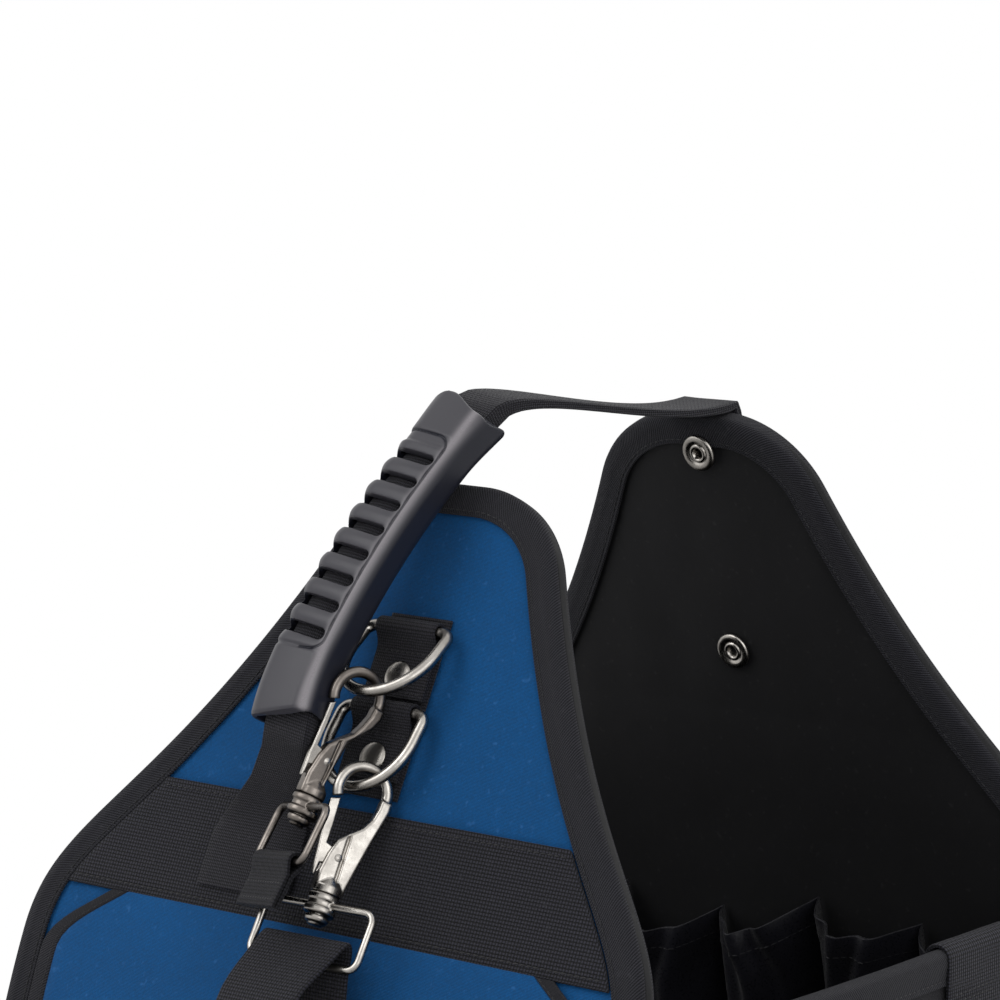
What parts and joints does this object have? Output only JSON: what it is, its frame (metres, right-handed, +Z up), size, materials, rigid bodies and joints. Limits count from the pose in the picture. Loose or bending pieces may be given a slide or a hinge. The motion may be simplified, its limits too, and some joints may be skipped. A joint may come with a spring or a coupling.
{
  "type": "open-top tool bag",
  "caption": "Open tool bag with two tall leaning end panels, a webbing handle with a moulded grip, D-rings and swivel snap hooks on a folded shoulder strap.",
  "frame": {"origin": "middle of the moulded base's flat underside, on the floor", "axes": "+Z up; Y along the bag from the front end panel at -Y to the rear end panel at +Y; X across the bag"},
  "size_m": [0.3688, 0.405, 0.4141],
  "materials": {
    "moulded_base": "matt",
    "floor_board": "woven",
    "front_end_panel": "woven",
    "rear_end_panel": "woven",
    "front_panel_binding": "coarse woven webbing",
    "rear_panel_binding": "coarse woven webbing",
    "front_band": "coarse woven webbing",
    "rear_band": "coarse woven webbing",
    "front_patch_pocket": "woven",
    "rear_patch_pocket": "woven",
    "front_pocket_binding_left": "coarse woven webbing",
    "front_pocket_binding_right": "coarse woven webbing",
    "rear_pocket_binding_left": "coarse woven webbing",
    "rear_pocket_binding_right": "coarse woven webbing",
    "front_inner_pockets": "woven",
    "rear_inner_pockets": "woven",
    "left_side_wall": "woven",
    "right_side_wall": "woven",
    "left_wall_binding": "coarse woven webbing",
    "right_wall_binding": "coarse woven webbing",
    "left_side_webbing": "coarse woven webbing",
    "right_side_webbing": "coarse woven webbing",
    "left_side_pocket": "woven",
    "right_side_pocket": "woven",
    "ring_strip": "coarse woven webbing",
    "upper_ring_tab": "coarse woven webbing",
    "lower_ring_tab": "coarse woven webbing",
    "upper_d_ring": "satin nickel plate",
    "lower_d_ring": "satin nickel plate",
    "upper_tab_rivet": "satin nickel plate",
    "lower_tab_rivet": "satin nickel plate",
    "handle_upper_rivet": "satin nickel plate",
    "handle_lower_rivet": "satin nickel plate",
    "handle_strap": "coarse woven webbing",
    "grip": "satin",
    "upper_hook": "satin nickel plate",
    "upper_gate": "satin nickel plate",
    "upper_gate_pin": "satin nickel plate",
    "upper_loop": "satin nickel plate",
    "lower_hook": "satin nickel plate",
    "lower_gate": "satin nickel plate",
    "lower_gate_pin": "satin nickel plate",
    "lower_loop": "satin nickel plate",
    "strap_end_tab": "coarse woven webbing",
    "shoulder_strap": "coarse woven webbing",
    "strap_keeper": "coarse woven webbing"
  },
  "bodies": {
    "bag": {"moulded_base": "moulded_base", "floor_board": "floor_board", "front_end_panel": "front_end_panel", "rear_end_panel": "rear_end_panel", "front_panel_binding": "front_panel_binding", "rear_panel_binding": "rear_panel_binding", "front_band": "front_band", "rear_band": "rear_band", "front_patch_pocket": "front_patch_pocket", "rear_patch_pocket": "rear_patch_pocket", "front_pocket_binding_left": "front_pocket_binding_left", "front_pocket_binding_right": "front_pocket_binding_right", "rear_pocket_binding_left": "rear_pocket_binding_left", "rear_pocket_binding_right": "rear_pocket_binding_right", "front_inner_pockets": "front_inner_pockets", "rear_inner_pockets": "rear_inner_pockets", "left_side_wall": "left_side_wall", "right_side_wall": "right_side_wall", "left_wall_binding": "left_wall_binding", "right_wall_binding": "right_wall_binding", "left_side_webbing": "left_side_webbing", "right_side_webbing": "right_side_webbing", "left_side_pocket": "left_side_pocket", "right_side_pocket": "right_side_pocket", "ring_strip": "ring_strip", "upper_ring_tab": "upper_ring_tab", "lower_ring_tab": "lower_ring_tab", "upper_tab_rivet": "upper_tab_rivet", "lower_tab_rivet": "lower_tab_rivet", "handle_upper_rivet": "handle_upper_rivet", "handle_lower_rivet": "handle_lower_rivet", "handle_strap": "handle_strap", "grip": "grip"},
    "upper_ring_body": {"upper_d_ring": "upper_d_ring"},
    "upper_hook_body": {"upper_hook": "upper_hook", "upper_gate_pin": "upper_gate_pin"},
    "upper_gate_body": {"upper_gate": "upper_gate"},
    "upper_loop_body": {"upper_loop": "upper_loop"},
    "strap_end_body": {"strap_end_tab": "strap_end_tab"},
    "lower_ring_body": {"lower_d_ring": "lower_d_ring"},
    "lower_hook_body": {"lower_hook": "lower_hook", "lower_gate_pin": "lower_gate_pin"},
    "lower_gate_body": {"lower_gate": "lower_gate"},
    "lower_loop_body": {"lower_loop": "lower_loop"},
    "strap_body": {"shoulder_strap": "shoulder_strap"},
    "keeper_body": {"strap_keeper": "strap_keeper"}
  },
  "joints": [
    {"name": "upper_ring_swing", "type": "hinge", "parent": "bag", "child": "upper_ring_body", "pos_m": [0, -0.08991, 0.31258], "axis": [1, 0, 0], "range_deg": [-0.3, 0.5]},
    {"name": "upper_hook_swing", "type": "hinge", "parent": "upper_ring_body", "child": "upper_hook_body", "pos_m": [-0.001, -0.11919, 0.29169], "axis": [1, 0, 0], "range_deg": [-40, 0.5]},
    {"name": "upper_gate_turn", "type": "hinge", "parent": "upper_hook_body", "child": "upper_gate_body", "pos_m": [-0.00486, -0.13733, 0.26498], "axis": [0.9256, -0.3615, 0.1119], "range_deg": [-18, 0], "stiffness_Nm_per_rad": 0.02},
    {"name": "upper_loop_swivel", "type": "hinge", "parent": "upper_hook_body", "child": "upper_loop_body", "pos_m": [-0.00659, -0.147, 0.2481], "axis": [0.1075, 0.5347, 0.8382], "range_deg": [-6, 6]},
    {"name": "strap_end_swing", "type": "hinge", "parent": "upper_loop_body", "child": "strap_end_body", "pos_m": [-0.00917, -0.15983, 0.22799], "axis": [-0.8661, 0.4643, -0.1851], "range_deg": [-8, 8]},
    {"name": "lower_ring_swing", "type": "hinge", "parent": "bag", "child": "lower_ring_body", "pos_m": [0, -0.10557, 0.28184], "axis": [1, 0, 0], "range_deg": [-1, 0.1]},
    {"name": "lower_hook_swing", "type": "hinge", "parent": "lower_ring_body", "child": "lower_hook_body", "pos_m": [0.0085, -0.12745, 0.25576], "axis": [1, 0, 0], "range_deg": [-2, 0.1]},
    {"name": "lower_gate_turn", "type": "hinge", "parent": "lower_hook_body", "child": "lower_gate_body", "pos_m": [0.00852, -0.14562, 0.2288], "axis": [0.8376, -0.4527, 0.3057], "range_deg": [-18, 0], "stiffness_Nm_per_rad": 0.02},
    {"name": "lower_loop_swivel", "type": "hinge", "parent": "lower_hook_body", "child": "lower_loop_body", "pos_m": [0.0094, -0.15539, 0.21191], "axis": [-0.0174, 0.5372, 0.8433], "range_deg": [-2, 2]},
    {"name": "strap_swing", "type": "hinge", "parent": "lower_loop_body", "child": "strap_body", "pos_m": [0.00982, -0.16828, 0.19167], "axis": [0.9998, 0.0079, 0.0155], "range_deg": [-30, 0.1]},
    {"name": "keeper_slide", "type": "slide", "parent": "strap_body", "child": "keeper_body", "axis": [0, 0.2592, 0.9658], "range_m": [-0.008, 0.008]}
  ]
}
